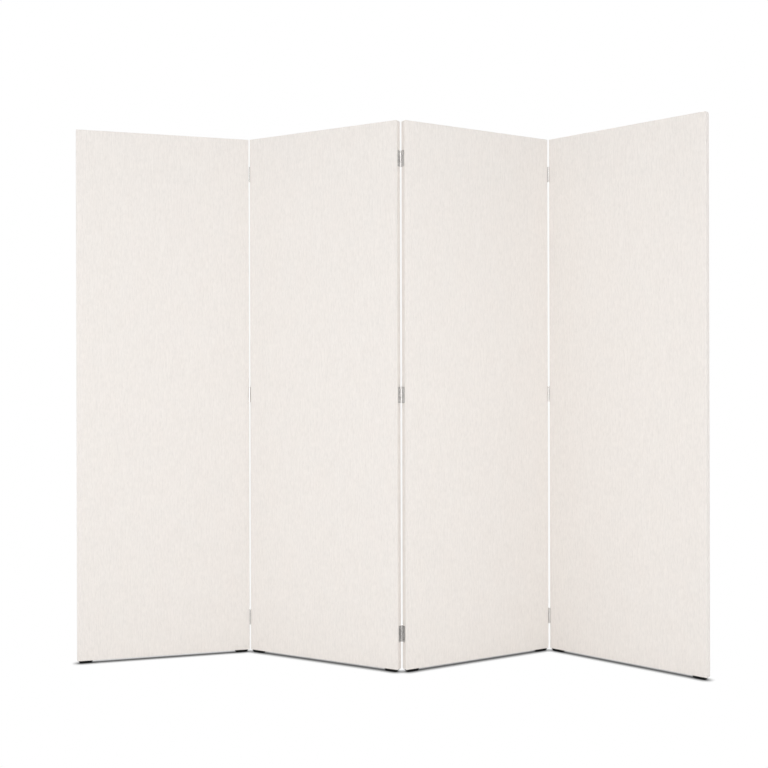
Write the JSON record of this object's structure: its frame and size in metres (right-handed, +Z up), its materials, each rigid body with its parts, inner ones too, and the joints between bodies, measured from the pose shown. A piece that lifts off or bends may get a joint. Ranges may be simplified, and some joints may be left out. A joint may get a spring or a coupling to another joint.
{
  "type": "folding screen",
  "caption": "Free-standing folding screen of flat fabric-covered panels in a zigzag, joined by small butt hinges and lifted off the floor by low glides.",
  "frame": {"origin": "middle of the bounding box's footprint, on the floor, with the panels folded as in the picture", "axes": "+X to the right as seen from the front, along the row of panels; +Y away from the viewer; +Z up"},
  "size_m": [2.1078, 0.4146, 1.83],
  "materials": {
    "timber": "planed softwood, unfinished",
    "board": "stiff pressed board",
    "wadding": "soft polyester wadding",
    "cover_fabric": "off-white woven upholstery fabric with a fine upright slub",
    "hinge_metal": "satin nickel plate",
    "glide_plastic": "matt black moulded plastic"
  },
  "bodies": {
    "panel_1": {"panel1_left_stile": "timber", "panel1_right_stile": "timber", "panel1_top_rail": "timber", "panel1_middle_rail": "timber", "panel1_bottom_rail": "timber", "panel1_front_board": "board", "panel1_back_board": "board", "panel1_wadding": "wadding", "panel1_cover": "cover_fabric", "panel1_glides": "glide_plastic", "panel1_glide_nails": "hinge_metal", "hinge1_left_leaves": "hinge_metal", "hinge1_pins": "hinge_metal", "hinge1_left_screws": "hinge_metal"},
    "panel_2": {"panel2_left_stile": "timber", "panel2_right_stile": "timber", "panel2_top_rail": "timber", "panel2_middle_rail": "timber", "panel2_bottom_rail": "timber", "panel2_front_board": "board", "panel2_back_board": "board", "panel2_wadding": "wadding", "panel2_cover": "cover_fabric", "panel2_glides": "glide_plastic", "panel2_glide_nails": "hinge_metal", "hinge1_right_leaves": "hinge_metal", "hinge1_right_screws": "hinge_metal", "hinge2_left_leaves": "hinge_metal", "hinge2_pins": "hinge_metal", "hinge2_left_screws": "hinge_metal"},
    "panel_3": {"panel3_left_stile": "timber", "panel3_right_stile": "timber", "panel3_top_rail": "timber", "panel3_middle_rail": "timber", "panel3_bottom_rail": "timber", "panel3_front_board": "board", "panel3_back_board": "board", "panel3_wadding": "wadding", "panel3_cover": "cover_fabric", "panel3_glides": "glide_plastic", "panel3_glide_nails": "hinge_metal", "hinge2_right_leaves": "hinge_metal", "hinge2_right_screws": "hinge_metal", "hinge3_left_leaves": "hinge_metal", "hinge3_pins": "hinge_metal", "hinge3_left_screws": "hinge_metal"},
    "panel_4": {"panel4_left_stile": "timber", "panel4_right_stile": "timber", "panel4_top_rail": "timber", "panel4_middle_rail": "timber", "panel4_bottom_rail": "timber", "panel4_front_board": "board", "panel4_back_board": "board", "panel4_wadding": "wadding", "panel4_cover": "cover_fabric", "panel4_glides": "glide_plastic", "panel4_glide_nails": "hinge_metal", "hinge3_right_leaves": "hinge_metal", "hinge3_right_screws": "hinge_metal"}
  },
  "joints": [
    {"name": "fold_left", "type": "hinge", "parent": "panel_1", "child": "panel_2", "pos_m": [-0.47631, 0.1746, 0.9195], "axis": [0, 0, 1], "range_deg": [-136, 44]},
    {"name": "fold_middle", "type": "hinge", "parent": "panel_2", "child": "panel_3", "pos_m": [0.06128, -0.08052, 0.9195], "axis": [0, 0, 1], "range_deg": [-57.5, 122.5]},
    {"name": "fold_right", "type": "hinge", "parent": "panel_3", "child": "panel_4", "pos_m": [0.59388, 0.18487, 0.9195], "axis": [0, 0, 1], "range_deg": [-109, 71]}
  ]
}
